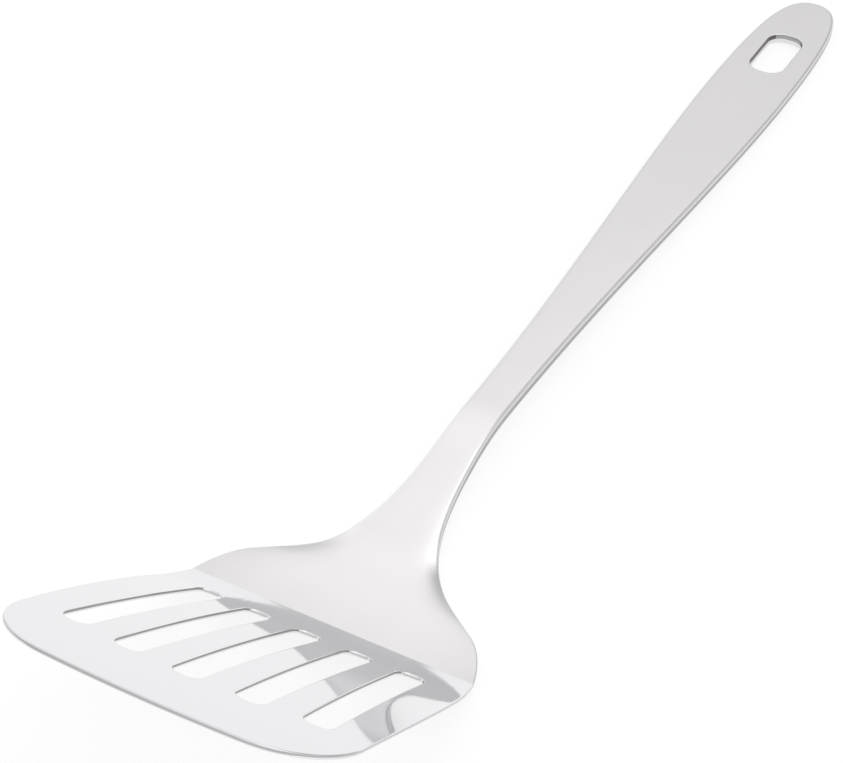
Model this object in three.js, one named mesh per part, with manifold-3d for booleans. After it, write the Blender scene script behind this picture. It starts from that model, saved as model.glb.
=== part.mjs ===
// Slotted kitchen turner in stainless steel: a mirror-polished blade and a satin handle.
// Millimetres, +X towards the blade's front edge, +Y to the left, +Z up. The turner lies as it does
// on a table, on the underside of its shoulder and on the end of its handle, with the blade raised.

import * as THREE from 'three';
import { mergeVertices } from 'three/addons/utils/BufferGeometryUtils.js';
import Module from 'manifold-3d';

// Blade, measured forward from the heel line, where its polish ends and the handle's satin begins
const bladeLength = 81.6; // heel line to the middle of the front edge
const bladeWidth = 77.6; // widest part
const heelWidth = 69.8; // along the heel line, blade and shoulder alike
const bladeGauge = 1; // sheet thickness, also of the shoulder where it meets the blade
const heelSlope = 27.6; // degrees above the table at the heel line
const heelReach = 11.9; // length over which the blade bends up from there
const bladeTilt = 37.8; // degrees above the table at the end of that bend
const crownRadius = 638; // gentle arch from there to the front edge
const flareReach = 20; // how soon the sides swell to the full width
const frontCornerRadius = 18;
const frontBowAngle = 5; // degrees that the front edge falls back at its corners

// Drain slots, spread like a fan
const slotCount = 5;
const slotWidth = 6.4;
const slotCornerRadius = 2.6;
const slotPitch = 12; // between neighbouring centre lines at the heel line
const slotFanReach = 420.6; // heel line back to the point where the centre lines meet
const slotStart = 8.8; // heel line to the near ends
const slotEnd = 64.4; // heel line to the far end of the middle slot
const slotEndSetback = 0.6; // of the next slot's far end, growing with the square of its place

// Handle in plan, measured back from the heel line
const handleLength = 281.1; // heel line to the tip
const shoulderReach = 12.6; // where the rounded shoulder turns into the hollow neck line
const shoulderWidth = 54.8; // there
const shoulderLean = 55.1; // degrees of the outline to the handle's axis, there
const shoulderRounding = 6.1; // pull of the shoulder's curve along that line
const neckSweep = 19; // pull of the neck's curve along that line
const neckReach = 70.7; // narrowest place
const neckWidth = 10;
const neckHold = 42.5; // pull of the neck's curve along the handle before the narrowest place
const flareHold = 56.3; // pull of the handle's curve behind the narrowest place
const gripReach = 230; // widest place
const gripWidth = 22.9;
const gripHold = 45.2; // pull of the handle's curve before the widest place
const tipHold = 39.4; // pull of the end's curve behind the widest place
const tipFullness = 17.1; // width of the end's curve at its pull across the tip

// Handle from the side, heights of the top face above the heel line
const dipReach = 17; // lowest line of the shoulder
const shoulderDip = 1.9; // fall from the heel line to that line
const bendReach = 72.4; // where the bend ends and the handle runs straight
const bendRise = 5.9; // height there
const gradeStart = 13.6; // where the metal starts to thicken
const gradeEnd = 59.6; // where it has its full thickness
const neckThickness = 3.1;
const tipThickness = 2.7;
const edgeRounding = 0.8; // of the handle's long edges, less where the metal is thin

// Hanging hole
const holeLength = 21;
const holeWidth = 10;
const holeCornerRadius = 4.2;
const holeSetback = 31.8; // tip to the hole's middle

// Fineness of the curved faces, and spare length of the cutting solids
const sheetSteps = 24;
const outlineSteps = 14;
const cornerSteps = 3;
const cutMargin = 5;

const wasm = await Module();
wasm.setup();

const { degToRad, lerp, smoothstep } = THREE.MathUtils;
const planeTilt = bladeLine(bladeLength).point.angle();

function toSolid(geometry) {
  geometry.deleteAttribute('normal');
  geometry.deleteAttribute('uv');
  const merged = mergeVertices(geometry, 1e-5);
  const vertProperties = new Float32Array(merged.attributes.position.array);
  const triVerts = new Uint32Array(merged.index.array);
  return new wasm.Manifold(new wasm.Mesh({ numProp: 3, vertProperties, triVerts }));
}

function toGeometry(solid) {
  const mesh = solid.getMesh();
  const geometry = new THREE.BufferGeometry();
  geometry.setAttribute('position', new THREE.BufferAttribute(mesh.vertProperties, 3));
  geometry.setIndex(new THREE.BufferAttribute(mesh.triVerts, 1));
  geometry.computeVertexNormals();
  return geometry;
}

// Rectangle with round corners, centred on the origin, longer along x.
function roundedRectangle(length, width, radius) {
  const x = length / 2 - radius;
  const y = width / 2 - radius;
  const path = new THREE.Path();
  path.absarc(x, y, radius, 0, Math.PI / 2);
  path.absarc(-x, y, radius, Math.PI / 2, Math.PI);
  path.absarc(-x, -y, radius, Math.PI, Math.PI * 1.5);
  path.absarc(x, -y, radius, Math.PI * 1.5, Math.PI * 2);
  path.closePath();
  return path.getPoints(cornerSteps * 2);
}

// Drain slot at a place counted from the middle one, on a line through the fan's meeting point.
function slotPath(place) {
  const centre = new THREE.Vector2(-slotFanReach, 0);
  const angle = Math.atan(place * slotPitch / slotFanReach);
  const end = slotEnd - slotEndSetback * place * place;
  const middle = new THREE.Vector2((slotStart + end) / 2 + slotFanReach, 0);
  const points = roundedRectangle(end - slotStart, slotWidth, slotCornerRadius);
  points.forEach((point) => point.add(middle).rotateAround(new THREE.Vector2(), angle).add(centre));
  return new THREE.Path(points);
}

// Blade seen square to its plane: flared sides, round front corners and a slightly bowed front edge.
function bladeOutline() {
  const heel = heelWidth / 2;
  const side = bladeWidth / 2;
  const bow = degToRad(frontBowAngle);
  const cornerY = side - frontCornerRadius;
  const frontY = cornerY + frontCornerRadius * Math.sin(bow);
  const frontX = bladeLength - Math.tan(bow) * frontY / 2;
  const cornerX = frontX - frontCornerRadius * Math.cos(bow);
  const shape = new THREE.Shape();
  shape.moveTo(0, -heel);
  shape.quadraticCurveTo(flareReach, -side, cornerX, -side);
  shape.absarc(cornerX, -cornerY, frontCornerRadius, -Math.PI / 2, -bow);
  shape.quadraticCurveTo(frontX + Math.tan(bow) * frontY, 0, frontX, frontY);
  shape.absarc(cornerX, cornerY, frontCornerRadius, bow, Math.PI / 2);
  shape.quadraticCurveTo(flareReach, side, 0, heel);
  shape.closePath();
  const lastPlace = (slotCount - 1) / 2;
  for (let place = -lastPlace; place <= lastPlace; place += 1) {
    shape.holes.push(slotPath(place));
  }
  return shape;
}

// Upper line of the blade from the side, at a length along it: x forward and y up from the heel line.
function bladeLine(length) {
  const heel = degToRad(heelSlope);
  const heelRadius = heelReach / degToRad(bladeTilt - heelSlope);
  const bent = Math.min(length, heelReach);
  const angle = heel + bent / heelRadius;
  const slope = angle - (length - bent) / crownRadius;
  const point = new THREE.Vector2(
    heelRadius * (Math.sin(angle) - Math.sin(heel)) + crownRadius * (Math.sin(angle) - Math.sin(slope)),
    heelRadius * (Math.cos(heel) - Math.cos(angle)) + crownRadius * (Math.cos(slope) - Math.cos(angle)),
  );
  return { point, slope };
}

// Bent sheet, wider and longer than the blade, turned so that the blade's plane lies flat.
function bentSheet() {
  const upper = [];
  const lower = [];
  for (let step = 0; step <= sheetSteps; step += 1) {
    const { point, slope } = bladeLine(lerp(-cutMargin, bladeLength + cutMargin, step / sheetSteps));
    const inward = new THREE.Vector2(Math.sin(slope), -Math.cos(slope));
    upper.push(point);
    lower.unshift(point.clone().addScaledVector(inward, bladeGauge));
  }
  const section = [...upper, ...lower];
  section.forEach((point) => point.rotateAround(new THREE.Vector2(), -planeTilt));
  const depth = bladeWidth + 2 * cutMargin;
  const sheet = new THREE.ExtrudeGeometry(new THREE.Shape(section), { depth, bevelEnabled: false });
  sheet.translate(0, 0, -depth / 2);
  return sheet.rotateX(Math.PI / 2);
}

function bladeGeometry() {
  const depth = 2 * cutMargin;
  const settings = { depth, bevelEnabled: false, curveSegments: outlineSteps };
  const cutter = new THREE.ExtrudeGeometry(bladeOutline(), settings);
  cutter.translate(0, 0, -depth / 2);
  return toGeometry(toSolid(bentSheet()).intersect(toSolid(cutter)));
}

// Half outline of the handle in plan: x counts back from the heel line, y is half the width.
function handleOutline() {
  const lean = degToRad(shoulderLean);
  const along = new THREE.Vector2(Math.cos(lean), -Math.sin(lean));
  const heel = new THREE.Vector2(0, heelWidth / 2);
  const shoulder = new THREE.Vector2(shoulderReach, shoulderWidth / 2);
  const neck = new THREE.Vector2(neckReach, neckWidth / 2);
  const grip = new THREE.Vector2(gripReach, gripWidth / 2);
  const tip = new THREE.Vector2(handleLength, 0);
  const pull = (point, x, y) => new THREE.Vector2(point.x + x, point.y + y);
  const shoulderPull = shoulder.clone().addScaledVector(along, -shoulderRounding);
  const sweepPull = shoulder.clone().addScaledVector(along, neckSweep);
  const curves = [
    new THREE.QuadraticBezierCurve(heel, shoulderPull, shoulder),
    new THREE.CubicBezierCurve(shoulder, sweepPull, pull(neck, -neckHold, 0), neck),
    new THREE.CubicBezierCurve(neck, pull(neck, flareHold, 0), pull(grip, -gripHold, 0), grip),
    new THREE.CubicBezierCurve(grip, pull(grip, tipHold, 0), pull(tip, 0, tipFullness / 2), tip),
  ];
  return curves.flatMap((curve) => curve.getPoints(outlineSteps).slice(0, -1));
}

// Metal thickness at a distance back from the heel line: thin shoulder, thick neck, tapering to the tip.
function thickness(x) {
  const taper = Math.max(0, (x - gradeEnd) / (handleLength - gradeEnd));
  const body = lerp(neckThickness, tipThickness, taper);
  return lerp(bladeGauge, body, smoothstep(x, gradeStart, gradeEnd));
}

// Height of the top face: a shallow dip, an S-bend, then straight down to where the tip rests.
function topHeight(x) {
  const tipHeight = tipThickness - thickness(dipReach) - shoulderDip;
  const slope = (tipHeight - bendRise) / (handleLength - bendReach);
  if (x < dipReach) {
    return -shoulderDip * (1 - (1 - x / dipReach) ** 2);
  }
  if (x > bendReach) {
    return bendRise + slope * (x - bendReach);
  }
  const span = bendReach - dipReach;
  const u = (x - dipReach) / span;
  return lerp(-shoulderDip, bendRise, u * u * (3 - 2 * u)) + slope * span * u * u * (u - 1);
}

// Lean of the section: square to the blade's plane at the heel line, square to the handle behind it.
function sectionLean(x) {
  const step = 0.05;
  const slope = (topHeight(x + step) - topHeight(Math.max(0, x - step))) / (step + Math.min(x, step));
  return lerp(planeTilt, -Math.atan(slope), Math.min(1, x / (2 * bladeGauge)));
}

// Ring of points round the handle's section, seen from the front: round-edged strip of the metal.
function sectionRing(x, half) {
  const depth = thickness(x);
  const radius = Math.min(edgeRounding, 0.35 * depth, 0.5 * half);
  const lean = sectionLean(x);
  const ring = [];
  for (let corner = 0; corner < 4; corner += 1) {
    const y = (half - radius) * (corner === 0 || corner === 3 ? 1 : -1);
    const below = corner < 2 ? radius : depth - radius;
    for (let step = 0; step <= cornerSteps; step += 1) {
      const turn = (corner + step / cornerSteps) * Math.PI / 2;
      const fall = below - radius * Math.sin(turn);
      const across = y + radius * Math.cos(turn);
      ring.push([fall * Math.sin(lean) - x, across, topHeight(x) - fall * Math.cos(lean)]);
    }
  }
  return ring;
}

function handleGeometry() {
  const rings = handleOutline().map((point) => sectionRing(point.x, point.y));
  const count = rings[0].length;
  const index = [];
  for (let row = 0; row + 1 < rings.length; row += 1) {
    for (let column = 0; column < count; column += 1) {
      const next = (column + 1) % count;
      const [a, b] = [row * count + column, row * count + next];
      index.push(a, a + count, b, b, a + count, b + count);
    }
  }
  const last = (rings.length - 1) * count;
  for (let column = 1; column + 1 < count; column += 1) {
    index.push(0, column, column + 1, last, last + column + 1, last + column);
  }
  const geometry = new THREE.BufferGeometry();
  geometry.setAttribute('position', new THREE.Float32BufferAttribute(rings.flat(2), 3));
  geometry.setIndex(index);
  return toGeometry(toSolid(geometry).subtract(toSolid(holeCutter())));
}

function holeCutter() {
  const shape = new THREE.Shape(roundedRectangle(holeLength, holeWidth, holeCornerRadius));
  const depth = bendRise + 2 * (cutMargin + neckThickness);
  const cutter = new THREE.ExtrudeGeometry(shape, { depth, bevelEnabled: false });
  return cutter.translate(holeSetback - handleLength, 0, -depth / 2);
}

const polished = new THREE.MeshStandardMaterial({ color: 0xe8e9ea, metalness: 1, roughness: 0.05 });
const satin = new THREE.MeshStandardMaterial({ color: 0xd5d4d3, metalness: 1, roughness: 0.35 });

const blade = new THREE.Mesh(bladeGeometry(), polished);
blade.name = 'blade';
blade.rotation.y = -planeTilt;

const handle = new THREE.Mesh(handleGeometry(), satin);
handle.name = 'handle';

const turner = new THREE.Group();
turner.add(blade, handle);

// The origin lies on the table, under the middle of the turner.
const box = new THREE.Box3().setFromObject(turner, true);
const middle = box.getCenter(new THREE.Vector3());
turner.position.set(-middle.x, 0, -box.min.z);

export default turner;
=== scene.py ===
import bmesh
import bpy
import numpy as np
from mathutils import Matrix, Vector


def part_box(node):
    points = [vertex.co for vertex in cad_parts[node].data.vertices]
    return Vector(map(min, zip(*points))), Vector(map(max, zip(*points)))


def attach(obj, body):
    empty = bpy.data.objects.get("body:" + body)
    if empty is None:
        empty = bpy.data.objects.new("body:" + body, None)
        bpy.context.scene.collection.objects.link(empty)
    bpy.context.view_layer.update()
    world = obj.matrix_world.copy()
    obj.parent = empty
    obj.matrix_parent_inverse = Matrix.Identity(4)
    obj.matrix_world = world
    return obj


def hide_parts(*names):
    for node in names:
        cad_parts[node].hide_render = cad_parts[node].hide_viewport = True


# Slotted kitchen turner in stainless steel, lying on a white table.
# Sizes are in millimetres and go into the meshes in metres. Plans count from the heel line, the
# line across the turner where the blade's polish ends and the handle's satin begins.

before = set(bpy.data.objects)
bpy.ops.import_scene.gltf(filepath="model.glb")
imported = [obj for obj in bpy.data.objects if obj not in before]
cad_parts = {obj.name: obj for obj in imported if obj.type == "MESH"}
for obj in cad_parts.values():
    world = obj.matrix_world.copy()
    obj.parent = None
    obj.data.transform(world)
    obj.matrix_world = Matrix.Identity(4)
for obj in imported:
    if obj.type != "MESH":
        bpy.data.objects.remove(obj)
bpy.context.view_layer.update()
print("frame loaded:", sorted(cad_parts))

scene = bpy.context.scene
millimetre = 0.001


# Mesh helpers

curveSteps = 400  # points of a smooth curve in plan
weldSteps = 2000  # to the millimetre; points that round to the same step become one
sharpBend = 50  # degrees; a sharper bend keeps a hard edge in the shading
# the cut finish, and the handle's walls and hole ends, take edge greys that are partly painted
# shade
faceFinish, cutShadeFinish, rimAndShadedWallFinish = range(3)  # places in a piece's list of finishes


# quads between neighbouring rows of a grid of points
def gridQuads(rows, columns, closed=False):
    ids = np.arange(rows * columns).reshape(rows, columns)
    if closed:
        ids = np.column_stack([ids, ids[:, :1]])
    corners = [ids[:-1, :-1], ids[:-1, 1:], ids[1:, 1:], ids[1:, :-1]]
    return np.stack(corners, axis=-1).reshape(-1, 4)


# grids and loose rings share their border points: equal places become one point;
# a grid brings the finishes of its quads, for each row or for all of them
def weldMesh(name, grids, rings):
    points = np.concatenate([grid[0].reshape(-1, 3) for grid in grids] + list(rings))
    keys = np.round(points * weldSteps).astype(np.int64)
    _, first, welded = np.unique(keys, axis=0, return_index=True, return_inverse=True)
    welded = welded.reshape(-1)
    faces, finishes = [], []
    start = 0
    for grid, closed, quadFinishes in grids:
        faces += welded[start + gridQuads(*grid.shape[:2], closed)].tolist()
        size = grid.shape[0] - 1, grid.shape[1] - (0 if closed else 1)
        finishes += np.broadcast_to(quadFinishes, size).reshape(-1).tolist()
        start += grid.shape[0] * grid.shape[1]
    for ring in rings:
        faces.append(welded[start:start + len(ring)].tolist())
        finishes.append(faceFinish)
        start += len(ring)
    # a corner that met its neighbour drops out of its face
    faces = [list(dict.fromkeys(face)) for face in faces]
    finishes = [finish for face, finish in zip(faces, finishes) if len(face) > 2]
    faces = [face for face in faces if len(face) > 2]
    mesh = bpy.data.meshes.new(name)
    mesh.from_pydata((points[first] * millimetre).tolist(), [], faces)
    mesh.polygons.foreach_set("material_index", np.array(finishes, dtype=np.int32))
    solid = bmesh.new()
    solid.from_mesh(mesh)
    bmesh.ops.recalc_face_normals(solid, faces=solid.faces)
    openEdges = sum(not edge.is_manifold for edge in solid.edges)
    solid.to_mesh(mesh)
    solid.free()
    mesh.polygons.foreach_set("use_smooth", np.ones(len(mesh.polygons), dtype=bool))
    mesh.set_sharp_from_angle(angle=np.radians(sharpBend))
    mesh.validate()
    piece = bpy.data.objects.new(name, mesh)
    scene.collection.objects.link(piece)
    print(name, "faces:", len(mesh.polygons), "open edges:", openEdges)
    return piece


# places along a polyline by its length, with the outward normal of a line that runs anticlockwise
class outlineTable:
    def __init__(self, points):
        steps = np.hypot(*np.diff(points, axis=0).T)
        moved = steps > 1e-9  # curves that follow each other share a point
        self.points = points[np.concatenate([[True], moved])]
        self.run = np.concatenate([[0], np.cumsum(steps[moved])])
        tangent = np.gradient(self.points, self.run, axis=0)
        tangent /= np.hypot(*tangent.T)[:, None]
        self.normal = np.column_stack([tangent[:, 1], -tangent[:, 0]])
        # both ends stand on the heel line, so there the normal runs along it
        for end in (0, -1):
            self.normal[end] = [0, 1 / self.normal[end, 1]]

    def at(self, run, inset):
        place = [np.interp(run, self.run, self.points[:, axis]) for axis in (0, 1)]
        normal = [np.interp(run, self.run, self.normal[:, axis]) for axis in (0, 1)]
        return np.stack([place[axis] - normal[axis] * inset for axis in (0, 1)], axis=-1)


# Bezier curve of any order: points weighted by Bernstein terms
def bezier(*controls):
    t = np.linspace(0, 1, curveSteps)[:, None]
    points = [np.array(control, float)[None, :] for control in controls]
    while len(points) > 1:
        points = [a * (1 - t) + b * t for a, b in zip(points[:-1], points[1:])]
    return points[0]


# share of the way from low to high, with a gentle start and end
def smoothStep(value, low, high):
    t = np.clip((value - low) / (high - low), 0, 1)
    return t * t * (3 - 2 * t)


# round-edged section of a sheet, as (inset, share of the depth, roundings of depth) down one side:
# flat support, quarter circle, wall in two halves, quarter circle, flat support
def edgeProfile(support, steps):
    turn = np.linspace(0, np.pi / 2, steps + 1)
    inset = np.concatenate([[1 + support], 1 - np.sin(turn)])
    fall = np.concatenate([[0], 1 - np.cos(turn)])
    share = np.zeros(len(fall))
    return (
        np.concatenate([inset, [0], inset[::-1]]),
        np.concatenate([share, [0.5], share + 1]),
        np.concatenate([fall, [0], -fall[::-1]]),
    )


# rows of that section, marked 1 where a cut shows and takes the edge grey: the wall's upper half
# and half of the rounding above it; in the slots and the hole that grey is partly painted shade
def cutRows(steps):
    rows = np.arange(2 * steps + 4)[:, None]
    return ((rows > steps / 2) & (rows <= steps + 1)).astype(int)


# rows of that section, marked 1 on the whole wall, where the handle's wall takes a darker grey as
# painted shade
def shadedWallRows(steps):
    rows = np.arange(2 * steps + 4)[:, None]
    return ((rows > steps) & (rows <= steps + 2)).astype(int)


# rows of the metal round an opening: in over the upper face from a border, round the opening's rim
# and out over the lower face, as (share of the border, inset, share of the depth, roundings of
# depth)
def openingRows(profile, faceRows):
    inset, share, fall = profile
    face = np.linspace(1, 0, faceRows)[:-1]
    flat = 0 * face
    return (
        np.concatenate([face, 0 * inset, face[::-1]])[:, None, None],
        np.concatenate([flat + inset[0], inset, flat + inset[0]])[:, None, None],
        np.concatenate([flat, share, flat + 1])[:, None],
        np.concatenate([flat, fall, flat])[:, None],
    )


# finishes of those rows: the opening's long sides and its ends are cut in their own ways; their
# edge greys are partly painted shade
def openingFinishes(steps, faceRows, sides, longFinish, endFinish):
    none = np.zeros((faceRows - 1, 1), dtype=int)
    rows = np.concatenate([none, cutRows(steps), none])
    finishes = [longFinish, endFinish] * 2
    return rows * np.concatenate([np.full(len(turn) - 1, finish)
                                  for finish, (turn, share) in zip(finishes, sides)])


# one side of a rounded rectangle, from the middle of a corner to the middle of the next:
# turn of the normal from the side's own, and share of the way between the corners' centres
def sideSteps(arcSteps, straightSteps):
    half = np.linspace(0, np.pi / 4, arcSteps + 1)
    straight = np.linspace(0, 1, straightSteps + 1)[1:-1]
    turn = np.concatenate([half - np.pi / 4, 0 * straight, half])
    share = np.concatenate([0 * half, straight, 0 * half + 1])
    return turn, share


# rounded rectangle between two lengths, centred on the axis: points and outward normals, side by
# side from the corner at (low, -half) along the low side, and the shares of each side's length
def roundedRectangle(low, high, half, radius, sides):
    corners = np.array([[low + radius, radius - half], [high - radius, radius - half],
                        [high - radius, half - radius], [low + radius, half - radius]])
    points, normals, shares = [], [], []
    for side, (turn, share) in enumerate(sides):
        angle = np.pi / 2 * (side - 1) + turn
        normal = np.column_stack([np.cos(angle), np.sin(angle)])
        ends = corners[side], corners[(side + 1) % 4]
        centre = ends[0] + (ends[1] - ends[0]) * share[:, None]
        place = centre + radius * normal
        along = (place - place[0]) @ (place[-1] - place[0])
        points.append(place[:-1])
        normals.append(normal[:-1])
        shares.append(along / along[-1])
    return np.concatenate(points), np.concatenate(normals), shares


# Blade: one bent sheet of even thickness with five slots

blade = {
    "length": 81.6, "width": 77.6, "heelWidth": 69.8, "gauge": 1.0,
    "heelSlope": 27.6, "heelReach": 11.9, "tilt": 37.8, "crownRadius": 638.0,
    "flareReach": 20.0, "cornerRadius": 18.0, "frontBow": 5.0,
    "slots": 5, "slotWidth": 6.4, "slotCorner": 2.6, "slotPitch": 12.0, "fanReach": 420.6,
    "slotStart": 8.8, "slotEnd": 64.4, "slotSetback": 0.6,
    "rim": 0.3, "rimSupport": 0.3, "rimSteps": 4,
    "faceRows": 13, "arcSteps": 6, "sideStraight": 48, "endStraight": 4,
    "lineSteps": 3000, "lineSpare": 1.0,
}
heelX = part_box("blade")[0][0] / millimetre
heelZ = 2.95  # height of the heel line above the table


# upper line from the side: the slope grows evenly through the heel bend, then falls off slowly;
# forward and up are the sums of the cosine and sine of the slope along the line
def bladeLine(run):
    heel = np.radians(blade["heelSlope"])
    heelRadius = blade["heelReach"] / np.radians(blade["tilt"] - blade["heelSlope"])
    bent = np.minimum(run, blade["heelReach"])
    angle = heel + bent / heelRadius
    slope = angle - (run - bent) / blade["crownRadius"]
    forward = heelRadius * (np.sin(angle) - np.sin(heel))
    forward = forward + blade["crownRadius"] * (np.sin(angle) - np.sin(slope))
    up = heelRadius * (np.cos(heel) - np.cos(angle))
    up = up + blade["crownRadius"] * (np.cos(slope) - np.cos(angle))
    return forward, up, slope


lineEnd = bladeLine(np.float64(blade["length"]))
planeTilt = np.arctan2(lineEnd[1], lineEnd[0])


# place on the blade: plan coordinates in its plane, and depth below the upper face, square to the
# plane
def bladePlace(plan, depth):
    run = np.linspace(0, blade["length"] + blade["lineSpare"], blade["lineSteps"])
    forward, up, slope = bladeLine(run)
    along = forward * np.cos(planeTilt) + up * np.sin(planeTilt)
    forward, up, slope = bladeLine(np.interp(plan[..., 0], along, run))
    fall = depth / np.cos(slope - planeTilt)
    x = heelX + forward + fall * np.sin(planeTilt)
    z = heelZ + up - fall * np.cos(planeTilt)
    return np.stack([x, plan[..., 1], z], axis=-1)


# plan of the blade: flared sides, round front corners, slightly bowed front edge
def bladeOutline():
    heel, side = blade["heelWidth"] / 2, blade["width"] / 2
    bow, radius = np.radians(blade["frontBow"]), blade["cornerRadius"]
    cornerY = side - radius
    frontY = cornerY + radius * np.sin(bow)
    frontX = blade["length"] - np.tan(bow) * frontY / 2
    cornerX = frontX - radius * np.cos(bow)
    turn = np.linspace(-np.pi / 2, -bow, curveSteps)
    corner = np.column_stack([cornerX + radius * np.cos(turn), radius * np.sin(turn) - cornerY])
    flank = bezier((0, -heel), (blade["flareReach"], -side), (cornerX, -side))
    front = bezier((frontX, -frontY), (frontX + np.tan(bow) * frontY, 0), (frontX, frontY))
    mirrored = np.concatenate([flank, corner])[::-1] * [1, -1]
    return outlineTable(np.concatenate([flank, corner, front, mirrored]))


# plan of a slot, with its outward normals and the shares of its sides, by its place in the fan;
# it is turned about the point where the slots' centre lines meet
def slotPlan(place, sides):
    fan = blade["fanReach"]
    angle = np.arctan(place * blade["slotPitch"] / fan)
    end = fan + blade["slotEnd"] - blade["slotSetback"] * place ** 2
    points, normals, shares = roundedRectangle(
        fan + blade["slotStart"], end, blade["slotWidth"] / 2, blade["slotCorner"], sides)
    spin = np.array([[np.cos(angle), np.sin(angle)], [-np.sin(angle), np.cos(angle)]])
    return points @ spin - [fan, 0], normals @ spin, shares


# the blade is divided half way between neighbouring slots, and at the middles of the front corners:
# lengths along the outline, and places along the heel line
def fieldCuts(outline, border, places):
    fan = blade["fanReach"]
    bearings = np.arctan((places[:-1] + 0.5) * blade["slotPitch"] / fan)
    ring = outline.at(outline.run, border)
    front = ring[:, 0] > blade["length"] / 2
    ringBearings = np.arctan2(ring[:, 1], ring[:, 0] + fan)
    frontCuts = np.interp(bearings, ringBearings[front], outline.run[front])
    turned = np.arctan2(outline.normal[:, 1], outline.normal[:, 0])
    corner = np.interp(-np.pi / 4, turned[front], outline.run[front])
    heelEnd = ring[-1, 1]
    return (np.concatenate([[corner], frontCuts, [outline.run[-1] - corner]]),
            np.concatenate([[-heelEnd], fan * np.tan(bearings), [heelEnd]]))


def buildBlade():
    outline = bladeOutline()
    rim, gauge = blade["rim"], blade["gauge"]
    profile = edgeProfile(blade["rimSupport"], blade["rimSteps"])
    border = rim * (1 + blade["rimSupport"])
    longSide = sideSteps(blade["arcSteps"], blade["sideStraight"])
    endSide = sideSteps(blade["arcSteps"], blade["endStraight"])
    sides = [longSide, endSide] * 2
    blend, inset, share, fall = openingRows(profile, blade["faceRows"])
    depth = share * gauge + fall * rim
    # the long walls of the slots are sheared and set a darker grey as painted shade, since they
    # face the shaded table under the blade; the ends are polished with the face
    finishes = openingFinishes(blade["rimSteps"], blade["faceRows"], sides, cutShadeFinish, faceFinish)
    places = np.arange(blade["slots"]) - (blade["slots"] - 1) / 2
    frontCuts, heelCuts = fieldCuts(outline, border, places)
    # shares of a border's length, the same for every field, so that neighbours meet point to point
    along, across = slotPlan(0, sides)[2][:2]
    firstRun = frontCuts[0] * along
    lastRun = frontCuts[-1] + firstRun
    grids, runs = [], [firstRun[:-1]]
    for number, place in enumerate(places):
        slot, normal, _ = slotPlan(place, sides)
        # border of the field, in step with the slot's sides
        (lowHeel, lowFront), (highHeel, highFront) = [
            (np.array([0, heelCuts[cut]]), outline.at(frontCuts[cut], border))
            for cut in (number, number + 1)]
        lowSide = lowHeel + (lowFront - lowHeel) * along[:, None]
        highSide = highFront + (highHeel - highFront) * along[:, None]
        if place == places[0]:
            lowSide = outline.at(firstRun, border)
        if place == places[-1]:
            highSide = outline.at(lastRun, border)
        frontRun = frontCuts[number] + (frontCuts[number + 1] - frontCuts[number]) * across
        heelSide = highHeel + (lowHeel - highHeel) * across[:, None]
        edge = [lowSide, outline.at(frontRun, border), highSide, heelSide]
        edge = np.concatenate([part[:-1] for part in edge])
        plan = (slot + normal * (inset * rim)) * (1 - blend) + edge * blend
        grids.append((bladePlace(plan, depth), True, finishes))
        # strip of the heel face under this field
        strip = np.stack([heelSide, heelSide])
        grids.append((bladePlace(strip, np.array([[0.0], [gauge]])), False, faceFinish))
        runs.append(frontRun[:-1])
    # rounded outer edge
    inset, share, fall = profile
    plan = outline.at(np.concatenate(runs + [lastRun]), inset[:, None] * rim)
    edge = bladePlace(plan, (share * gauge + fall * rim)[:, None])
    grids.append((edge, False, cutRows(blade["rimSteps"]) * rimAndShadedWallFinish))
    return weldMesh("polished_blade", grids, [edge[:, 0], edge[:, -1]])


bladePiece = buildBlade()
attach(bladePiece, "root")
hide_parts("blade")


# Handle: shoulder, bent neck and grip in one strip of metal

handle = {
    "length": 281.1, "tipTrim": 0.3, "heelWidth": 69.8,
    "shoulderReach": 12.6, "shoulderWidth": 54.8, "shoulderLean": 55.1, "shoulderRounding": 6.1,
    "neckSweep": 19.0, "neckReach": 70.7, "neckWidth": 10.0, "neckHold": 42.5,
    "flareHold": 56.3, "gripReach": 230.0, "gripWidth": 22.9, "gripHold": 45.2,
    "tipHold": 39.4, "tipFullness": 17.1,
    "dipReach": 17.0, "shoulderDip": 1.9, "bendReach": 72.4, "bendRise": 5.9,
    "gradeStart": 13.6, "gradeEnd": 59.6, "leanReach": 2.0,
    "heelThickness": 1.0, "neckThickness": 3.1, "tipThickness": 2.7,
    "crown": 1.3, "crownStart": 18.0, "crownHold": 30.0, "crownEnd": 54.0, "crownRest": 0.25,
    "restHold": 130.0, "restEnd": 210.0, "crownFall": 0.45, "leastHalf": 1.0,
    "roll": 0.9, "rollStart": 14.0, "rollFull": 23.0, "rollEnd": 33.0,
    "rounding": 0.8, "roundingShare": 0.3, "rimSupport": 0.3, "rimSteps": 5,
    "holeLength": 21.0, "holeWidth": 10.0, "holeCorner": 4.2, "holeSetback": 31.8, "holeRim": 0.35,
    "endStart": 228.0, "endTurn": 0.6, "faceRows": 15,
    "bodySteps": 190, "acrossSteps": 24, "arcSteps": 8, "sideStraight": 16, "endStraight": 8,
}


# thin shoulder, thick neck, tapering to the tip
def handleDepth(back):
    taper = np.clip((back - handle["gradeEnd"]) / (handle["length"] - handle["gradeEnd"]), 0, None)
    body = handle["neckThickness"] + (handle["tipThickness"] - handle["neckThickness"]) * taper
    grade = smoothStep(back, handle["gradeStart"], handle["gradeEnd"])
    return handle["heelThickness"] + (body - handle["heelThickness"]) * grade


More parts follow.
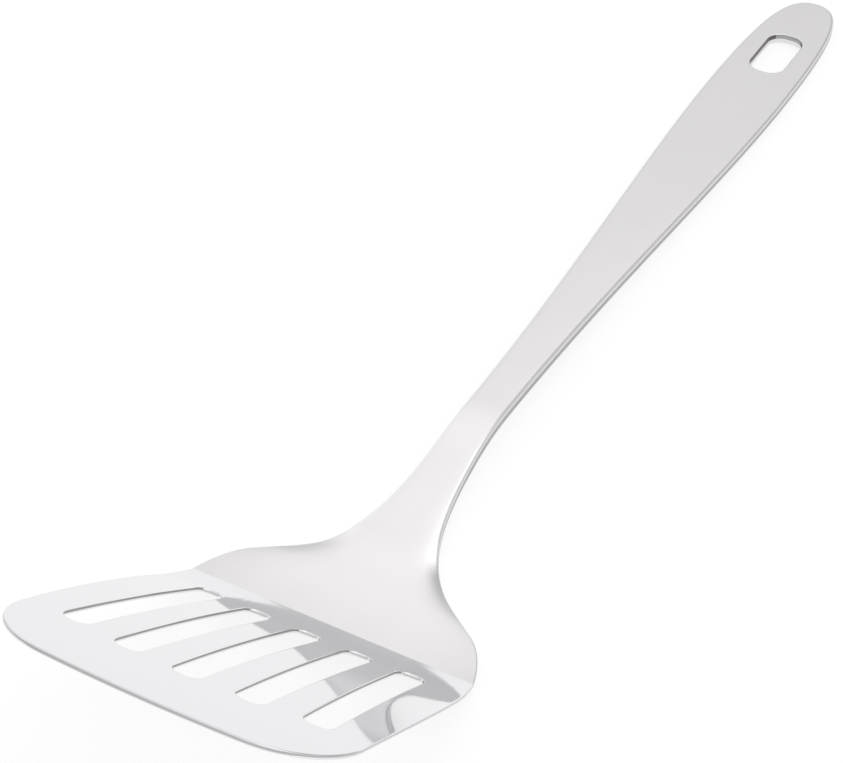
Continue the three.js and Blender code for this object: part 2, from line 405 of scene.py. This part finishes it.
# height of the upper face above the heel line and its slope: a parabola down to the dip, an S-bend
# whose ends keep their slopes, then a straight line to the tip
def handleHeight(back):
    reach, dip, rise = handle["dipReach"], handle["shoulderDip"], handle["bendRise"]
    span = handle["bendReach"] - reach
    tip = handle["tipThickness"] - handleDepth(np.float64(reach)) - dip
    grade = (tip - rise) / (handle["length"] - handle["bendReach"])
    hollow = -dip * (1 - (1 - back / reach) ** 2)
    hollowSlope = -2 * dip / reach * (1 - back / reach)
    u = np.clip((back - reach) / span, 0, 1)
    bend = -dip + (rise + dip) * u * u * (3 - 2 * u) + grade * span * u * u * (u - 1)
    bendSlope = (rise + dip) * 6 * u * (1 - u) / span + grade * u * (3 * u - 2)
    straight = rise + grade * (back - handle["bendReach"])
    place = [back < reach, back > handle["bendReach"]]
    height = np.select(place, [hollow, straight], bend)
    slope = np.select(place, [hollowSlope, grade + 0 * back], bendSlope)
    return height, slope


# gentle crown over the metal, which rises behind the heel line, sinks to a trace along the neck and
# runs out in the grip: to the edges it falls off by a share, with the fourth power of the distance
# from the middle, and behind the shoulder the upper face also rolls off in the same way
def handleCrown(back, across, fall):
    low = handleEdge.run < handleEdge.run[-1] / 2
    half = np.interp(back, handleEdge.points[low, 0], -handleEdge.points[low, 1])
    off = np.clip(np.abs(across) / np.maximum(half, handle["leastHalf"]), 0, 1) ** 4
    fade = smoothStep(back, handle["crownHold"], handle["crownEnd"])
    crown = handle["crown"] + (handle["crownRest"] - handle["crown"]) * fade
    crown = crown * (1 - np.clip(1 - back / handle["crownStart"], 0, 1) ** 2)
    crown = crown * (1 - smoothStep(back, handle["restHold"], handle["restEnd"]))
    roll = handle["roll"] * smoothStep(back, handle["rollStart"], handle["rollFull"])
    roll = roll * (1 - smoothStep(back, handle["rollFull"], handle["rollEnd"]))
    above = np.clip(1 - fall / handleDepth(back), 0, 1)
    return crown * (1 - handle["crownFall"] * off) - roll * off * above


# place on the handle: distance back from the heel line, distance across, depth square to the metal;
# at the heel line the section leans with the blade's plane
def handlePlace(plan, fall):
    back = np.maximum(plan[..., 0], 0)
    height, slope = handleHeight(back)
    lean = -np.arctan(slope)
    lean = planeTilt + (lean - planeTilt) * np.clip(back / handle["leanReach"], 0, 1)
    x = heelX - back + fall * np.sin(lean)
    z = heelZ + height + handleCrown(back, plan[..., 1], fall) - fall * np.cos(lean)
    return np.stack([x, plan[..., 1] + 0 * fall, z], axis=-1)


# plan of the handle: three smooth curves to the grip and a blunt round end, then the same mirrored
def handleOutline():
    lean = np.radians(handle["shoulderLean"])
    along = np.array([np.cos(lean), -np.sin(lean)])
    heel = np.array([0, handle["heelWidth"] / 2])
    shoulder = np.array([handle["shoulderReach"], handle["shoulderWidth"] / 2])
    neck = np.array([handle["neckReach"], handle["neckWidth"] / 2])
    grip = np.array([handle["gripReach"], handle["gripWidth"] / 2])
    tip = np.array([handle["length"] - handle["tipTrim"], 0])
    forward = np.array([1, 0])
    half = np.concatenate([
        bezier(heel, shoulder - along * handle["shoulderRounding"], shoulder),
        bezier(shoulder, shoulder + along * handle["neckSweep"],
               neck - forward * handle["neckHold"], neck),
        bezier(neck, neck + forward * handle["flareHold"],
               grip - forward * handle["gripHold"], grip),
        bezier(grip, grip + forward * handle["tipHold"],
               tip + [0, handle["tipFullness"] / 2], tip),
    ])
    return outlineTable(np.concatenate([half * [1, -1], half[::-1]]))


handleEdge = handleOutline()


# radius of the rounded edge, smaller where the metal is thin
def edgeRounding(run):
    depth = handleDepth(np.maximum(handleEdge.at(run, 0)[..., 0], 0))
    return np.minimum(handle["rounding"], handle["roundingShare"] * depth)


def buildHandle():
    outline, length = handleEdge, handleEdge.run[-1]
    half = outline.run < length / 2
    profile = edgeProfile(handle["rimSupport"], handle["rimSteps"])

    # line where the flat face meets the rounded edge
    def faceEdge(run):
        return outline.at(run, profile[0][0] * edgeRounding(run))

    # long body, ruled across between the two edges
    endRun = np.interp(handle["endStart"], outline.points[half, 0], outline.run[half])
    run = endRun * np.linspace(0, 1, handle["bodySteps"] + 1)
    right = faceEdge(run)
    left = right * [1, -1]
    across = np.linspace(0, 1, handle["acrossSteps"] + 1)[:, None, None]
    plan = right + (left - right) * across
    depth = handleDepth(np.maximum(plan[..., 0], 0))
    grids = [(handlePlace(plan, 0 * depth), False, faceFinish),
             (handlePlace(plan, depth), False, faceFinish)]
    # end with the hanging hole, in rings between the outline and the hole
    middle = handle["length"] - handle["holeSetback"]
    reach = handle["holeLength"] / 2
    longSide = sideSteps(handle["arcSteps"], handle["sideStraight"])
    endSide = sideSteps(handle["arcSteps"], handle["endStraight"])
    sides = [longSide, endSide] * 2
    hole, normal, shares = roundedRectangle(
        middle - reach, middle + reach, handle["holeWidth"] / 2, handle["holeCorner"], sides)
    end = half & (outline.points[:, 0] > middle)
    turned = np.arctan2(outline.normal[:, 1], outline.normal[:, 0])
    cornerRun = np.interp(-handle["endTurn"], turned[end], outline.run[end])
    lowRun = endRun + (cornerRun - endRun) * shares[0]
    tipRun = cornerRun + (length - 2 * cornerRun) * shares[1]
    highRun = length - lowRun[::-1]
    front = np.linspace(0, 1, len(shares[3]))[:, None]
    front = left[-1] + (right[-1] - left[-1]) * front
    border = [faceEdge(lowRun), faceEdge(tipRun), faceEdge(highRun), front]
    border = np.concatenate([part[:-1] for part in border])
    blend, inset, share, fall = openingRows(profile, handle["faceRows"])
    plan = (hole + normal * inset * handle["holeRim"]) * (1 - blend) + border * blend
    depth = handleDepth(plan[..., 0]) * share + fall * handle["holeRim"]
    # the hole's long sides are left as punched, its ends are ground; both are set darker greys as
    # painted shade inside the hole, the long sides darkest
    finishes = openingFinishes(handle["rimSteps"], handle["faceRows"], sides, cutShadeFinish, rimAndShadedWallFinish)
    grids.append((handlePlace(plan, depth), True, finishes))
    # rounded edge all the way round, with a ground wall set a darker grey as painted shade from the
    # table beside the handle
    runs = np.concatenate([run[:-1], lowRun[:-1], tipRun[:-1], highRun[:-1], length - run[::-1]])
    radius = edgeRounding(runs)
    inset, share, fall = [column[:, None] for column in profile]
    plan = outline.at(runs, inset * radius)
    depth = handleDepth(np.maximum(plan[..., 0], 0)) * share + fall * radius
    edge = handlePlace(plan, depth)
    grids.append((edge, False, shadedWallRows(handle["rimSteps"]) * rimAndShadedWallFinish))
    # flat face at the heel line
    heel = np.stack([right[:1] + (left[:1] - right[:1]) * across[:, 0]] * 2)
    heelDepth = np.array([[0.0], [handle["heelThickness"]]])
    grids.append((handlePlace(heel, heelDepth), False, faceFinish))
    return weldMesh("satin_handle", grids, [edge[:, 0], edge[:, -1]])


handlePiece = buildHandle()
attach(handlePiece, "root")
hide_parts("handle")


# Materials

# sRGB hex colour to linear light
def toLinear(code):
    parts = [int(code[start:start + 2], 16) / 255 for start in (0, 2, 4)]
    return [c / 12.92 if c <= 0.04045 else ((c + 0.055) / 1.055) ** 2.4 for c in parts] + [1.0]


# scale of a pattern whose marks are so many millimetres in size
def markScale(size):
    return 1 / (size * millimetre)


# adds one node, sets its values by socket or property name, and links its inputs
def addNode(tree, kind, settings, links=()):
    node = tree.nodes.new(kind)
    for key, value in settings.items():
        if key in node.inputs.keys():
            node.inputs[key].default_value = value
        else:
            setattr(node, key, value)
    for source, output, target in links:
        tree.links.new(source.outputs[output], node.inputs[target])
    return node


def newMaterial(name):
    material = bpy.data.materials.new(name)
    material.use_nodes = True
    material.node_tree.nodes.clear()
    return material, material.node_tree


# Mirror-polished stainless steel: buffed sheet, a clear mirror with a trace of haze from the wheel.
# Polishing lines are about 0.1 mm; drawn at 0.8 mm across and 9 mm along so that they show.
def polishedSteel():
    material, tree = newMaterial("mirror_polished_stainless_steel")
    across, along = markScale(0.8), markScale(9.09)
    place = addNode(tree, "ShaderNodeTexCoord", {})
    lines = addNode(tree, "ShaderNodeMapping", {"Scale": (across, along, across)},
                    [(place, "Object", "Vector")])
    haze = addNode(tree, "ShaderNodeTexNoise", {"Scale": 1.0, "Detail": 3.0},
                   [(lines, "Vector", "Vector")])
    rough = addNode(tree, "ShaderNodeMapRange", {"To Min": 0.03, "To Max": 0.075},
                    [(haze, "Fac", "Value")])
    steel = addNode(tree, "ShaderNodeBsdfPrincipled",
                    {"Base Color": toLinear("e9e9eb"), "Metallic": 1.0},
                    [(rough, "Result", "Roughness")])
    addNode(tree, "ShaderNodeOutputMaterial", {}, [(steel, "BSDF", "Surface")])
    return material


# Satin stainless steel: fine lengthwise belt grain, which spreads highlights softly, and faint
# clouds of tone about 11 mm wide. The grain is about 0.15 mm wide; drawn at 0.4 mm across and 20 mm
# along so that it shows faintly.
def satinSteel():
    material, tree = newMaterial("satin_stainless_steel")
    across, along = markScale(0.4), markScale(20)
    place = addNode(tree, "ShaderNodeTexCoord", {})
    lines = addNode(tree, "ShaderNodeMapping", {"Scale": (along, across, across)},
                    [(place, "Object", "Vector")])
    grain = addNode(tree, "ShaderNodeTexNoise", {"Scale": 1.0, "Detail": 4.0},
                    [(lines, "Vector", "Vector")])
    cloud = addNode(tree, "ShaderNodeTexNoise", {"Scale": markScale(11.1), "Detail": 2.0},
                    [(place, "Object", "Vector")])
    tint = addNode(tree, "ShaderNodeMix", {"data_type": "RGBA"}, [(cloud, "Fac", 0)])
    tint.inputs[6].default_value = toLinear("e5e3e4")  # sockets of the two colours
    tint.inputs[7].default_value = toLinear("e9e7e8")
    rough = addNode(tree, "ShaderNodeMapRange", {"To Min": 0.27, "To Max": 0.37},
                    [(grain, "Fac", "Value")])
    bump = addNode(tree, "ShaderNodeBump", {"Strength": 0.05, "Distance": 0.05 * millimetre},
                   [(grain, "Fac", "Height")])
    steel = addNode(tree, "ShaderNodeBsdfPrincipled", {"Metallic": 1.0},
                    [(tint, 2, "Base Color"), (rough, "Result", "Roughness"),
                     (bump, "Normal", "Normal")])
    addNode(tree, "ShaderNodeOutputMaterial", {}, [(steel, "BSDF", "Surface")])
    return material


# Cut edges of the steel: grey and dull where sheared in the slots, darkest in the punched hole,
# buffed nearly bright round the blade, ground matt along the handle. The greys of the slots, the
# hole and the handle's walls are partly painted shade: these walls face the shaded table or the
# inside of the hole.
# The tool's tears are about 0.3 mm; drawn at 1.4 mm so that they show.
def edgeSteel(name, colour):
    material, tree = newMaterial(name)
    place = addNode(tree, "ShaderNodeTexCoord", {})
    tears = addNode(tree, "ShaderNodeTexNoise", {"Scale": markScale(1.43), "Detail": 2.0},
                    [(place, "Object", "Vector")])
    rough = addNode(tree, "ShaderNodeMapRange", {"To Min": 0.25, "To Max": 0.4},
                    [(tears, "Fac", "Value")])
    steel = addNode(tree, "ShaderNodeBsdfPrincipled",
                    {"Base Color": toLinear(colour), "Metallic": 1.0},
                    [(rough, "Result", "Roughness")])
    addNode(tree, "ShaderNodeOutputMaterial", {}, [(steel, "BSDF", "Surface")])
    return material


# in the order of the finishes: face, cut and rim; the cut and wall greys carry painted shade
# sheared grey of the slots' long walls, partly painted shade
shearedShadeEdge = edgeSteel("sheared_stainless_steel_edge_painted_shade", "a6a3a2")
buffedEdge = edgeSteel("buffed_stainless_steel_edge", "cbcbcd")
# darkest grey of the hole's long walls, partly punched steel and partly painted shade in the hole
punchedShadeEdge = edgeSteel("punched_stainless_steel_edge_painted_shade", "6a6766")
# ground grey of the handle's walls and the hole's ends, partly painted shade
groundShadeEdge = edgeSteel("ground_stainless_steel_edge_painted_shade", "a8a8aa")
for finish in (polishedSteel(), shearedShadeEdge, buffedEdge):
    bladePiece.data.materials.append(finish)
for finish in (satinSteel(), punchedShadeEdge, groundShadeEdge):
    handlePiece.data.materials.append(finish)
print("materials set")


# White table: plain paint for the light, white with a faint shadow for the eye and in the mirror

table = {"size": 8.0, "paint": "e6e6e6", "seen": 0.26, "glow": 0.765}  # size in metres


def buildTable():
    corner = table["size"] / 2
    mesh = bpy.data.meshes.new("table")
    mesh.from_pydata([(-corner, -corner, 0), (corner, -corner, 0), (corner, corner, 0),
                      (-corner, corner, 0)], [], [(0, 1, 2, 3)])
    floor = bpy.data.objects.new("table", mesh)
    scene.collection.objects.link(floor)
    material, tree = newMaterial("white_table")
    path = addNode(tree, "ShaderNodeLightPath", {})
    paint = addNode(tree, "ShaderNodeBsdfDiffuse", {"Color": toLinear(table["paint"])})
    seen = addNode(tree, "ShaderNodeBsdfDiffuse", {"Color": [table["seen"]] * 3 + [1]})
    glow = addNode(tree, "ShaderNodeEmission", {"Strength": table["glow"]})
    white = addNode(tree, "ShaderNodeAddShader", {}, [(seen, 0, 0), (glow, 0, 1)])
    eye = addNode(tree, "ShaderNodeMath", {"operation": "MAXIMUM"},
                  [(path, "Is Camera Ray", 0), (path, "Is Glossy Ray", 1)])
    eye = addNode(tree, "ShaderNodeMath", {"operation": "MAXIMUM"},
                  [(eye, 0, 0), (path, "Is Transmission Ray", 1)])
    mix = addNode(tree, "ShaderNodeMixShader", {}, [(eye, 0, 0), (paint, 0, 1), (white, 0, 2)])
    addNode(tree, "ShaderNodeOutputMaterial", {}, [(mix, 0, "Surface")])
    mesh.materials.append(material)
    return floor


buildTable()
print("table laid")


# Studio: pale walls that grow lighter upwards, with soft patches of more or less light

studio = {
    # upward part of the direction, and level
    "levels": [(0.0, 0.55), (0.25, 0.7), (0.45, 0.68), (0.53, 0.88), (0.64, 1.08), (0.74, 1.18),
               (0.84, 1.14), (1.0, 1.1)],
    # direction, nearness to it where the patch begins and where it is full, and gain
    "patches": {
        "highScreen": ((-0.6, 0.22, 0.77), (0.95, 0.99), -0.54),
        "lowScreen": ((-0.84, 0.2, 0.51), (0.93, 0.985), -0.3),
        "lamp": ((-0.3, 0.18, 0.937), (0.95, 0.99), 0.85),
        "paleWall": ((-0.45, -0.85, 0.25), (0.88, 0.97), 0.6),
        "greyWall": ((0.15, -0.65, 0.75), (0.8, 0.97), -0.3),
    },
}


# strength that gains on its base as the direction nears a given one
def towards(tree, way, aim, reach, gain, base):
    near = addNode(tree, "ShaderNodeVectorMath", {"operation": "DOT_PRODUCT"},
                   [(way, "Generated", 0)])
    near.inputs[1].default_value = np.array(aim) / np.linalg.norm(aim)
    return addNode(tree, "ShaderNodeMapRange",
                   {"interpolation_type": "SMOOTHSTEP", "From Min": reach[0], "From Max": reach[1],
                    "To Min": base, "To Max": base + gain}, [(near, "Value", "Value")])


def buildWorld():
    world = bpy.data.worlds.new("studio")
    scene.world = world
    world.use_nodes = True
    tree = world.node_tree
    tree.nodes.clear()
    way = addNode(tree, "ShaderNodeTexCoord", {})
    parts = addNode(tree, "ShaderNodeSeparateXYZ", {}, [(way, "Generated", "Vector")])
    ramp = addNode(tree, "ShaderNodeValToRGB", {}, [(parts, "Z", "Fac")])
    band = ramp.color_ramp
    while len(band.elements) < len(studio["levels"]):
        band.elements.new(0.5)
    for stop, (height, level) in zip(band.elements, studio["levels"]):
        stop.position = height
        stop.color = (level, level, level, 1)
    # the walls' own strength is 1, which the first patch brings, and each patch adds its gain
    bases = [1.0] + [0.0] * (len(studio["patches"]) - 1)
    patches = [towards(tree, way, *patch, base)
               for patch, base in zip(studio["patches"].values(), bases)]
    strength = patches[0]
    for patch in patches[1:]:
        strength = addNode(tree, "ShaderNodeMath", {"operation": "ADD"},
                           [(strength, 0, 0), (patch, 0, 1)])
    walls = addNode(tree, "ShaderNodeBackground", {},
                    [(ramp, "Color", "Color"), (strength, 0, "Strength")])
    # the eye sees white above the table's edge
    path = addNode(tree, "ShaderNodeLightPath", {})
    white = addNode(tree, "ShaderNodeBackground", {"Color": [1, 1, 1, 1], "Strength": 1.0})
    mix = addNode(tree, "ShaderNodeMixShader", {},
                  [(path, "Is Camera Ray", 0), (walls, 0, 1), (white, 0, 2)])
    addNode(tree, "ShaderNodeOutputWorld", {}, [(mix, 0, "Surface")])


buildWorld()
print("studio lit")


# Camera as in the photograph, 843 x 763: it looks down over the blade's left front corner

view = {
    "place": (393.09, 180.632, 372.21),
    "right": (-0.48315, 0.87554, 0.0),
    "up": (-0.58068, -0.32043, 0.74842),
    "back": (0.65527, 0.3616, 0.66322),
    "lens": 99.365, "sensor": 36.0,
}
lens = bpy.data.cameras.new("camera")
lens.lens = view["lens"]
lens.sensor_width = view["sensor"]
lens.sensor_fit = "HORIZONTAL"
camera = bpy.data.objects.new("camera", lens)
scene.collection.objects.link(camera)
stand = np.eye(4)
stand[:3, :3] = np.array([view["right"], view["up"], view["back"]]).T
stand[:3, 3] = np.array(view["place"]) * millimetre
camera.matrix_world = Matrix(stand.tolist())
scene.camera = camera
scene.view_settings.view_transform = "Standard"
print("camera set")
